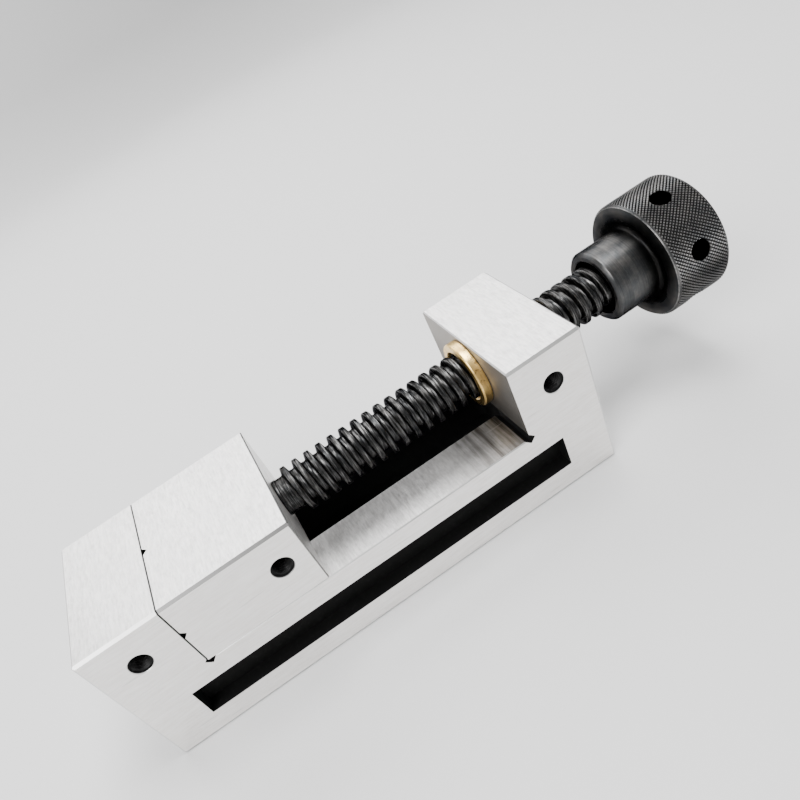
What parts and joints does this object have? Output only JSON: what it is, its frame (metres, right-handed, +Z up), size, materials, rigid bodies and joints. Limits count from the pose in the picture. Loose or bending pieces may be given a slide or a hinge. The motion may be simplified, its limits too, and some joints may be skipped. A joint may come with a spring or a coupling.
{
  "type": "precision screw vise",
  "caption": "Low ground-steel screw vise with a fixed jaw, a jaw sliding on a slotted bed, a black trapezoidal spindle in a flanged brass nut, and a knurled knob.",
  "frame": {"origin": "centre of the body's underside", "axes": "+X along the spindle from the fixed jaw to the knob, +Z up, -Y is the left side as seen from the fixed jaw's end with the knob behind"},
  "size_m": [0.2745, 0.063, 0.0766],
  "materials": {
    "ground_steel": "surface ground, pale satin with fine straight grinding lines",
    "machined_steel": "milled, dull grey",
    "black_oxide_thread": "black oxide, oiled, semi-gloss",
    "black_oxide_knob": "black oxide, turned faces and fine diamond knurl",
    "nut_brass": "turned brass, bright",
    "black_screw": "black oxide screws",
    "spring_steel": "bright spring steel",
    "plain_pin_steel": "ground pin, bright"
  },
  "bodies": {
    "base": {"body": "ground_steel", "spindle_nut": "nut_brass", "nut_lock_screw_left": "black_screw", "nut_lock_screw_right": "black_screw"},
    "jaw": {"movable_jaw": "ground_steel", "keeper_plate": "machined_steel", "keeper_screw_1": "black_screw", "keeper_screw_2": "black_screw", "keeper_screw_3": "black_screw", "keeper_screw_4": "black_screw", "spring_washer_1": "spring_steel", "spring_washer_2": "spring_steel", "spring_washer_3": "spring_steel", "spring_washer_4": "spring_steel", "thrust_disc": "nut_brass", "spindle_lock_screw_left": "black_screw", "spindle_lock_screw_right": "black_screw"},
    "screw": {"spindle": "black_oxide_thread", "knob": "black_oxide_knob", "knob_pin": "plain_pin_steel"}
  },
  "joints": [
    {"name": "jaw_slide", "type": "slide", "parent": "base", "child": "jaw", "axis": [1, 0, 0], "range_m": [-0.0003, 0.0841]},
    {"name": "spindle_turn", "type": "hinge", "parent": "jaw", "child": "screw", "pos_m": [-0.0184, 0, 0.0516], "axis": [1, 0, 0], "range_deg": [-20.19, 5652.34]}
  ],
  "couplings": [
    {"joint": "jaw_slide", "follows": "spindle_turn", "m_per_rad": 0.00085148}
  ]
}
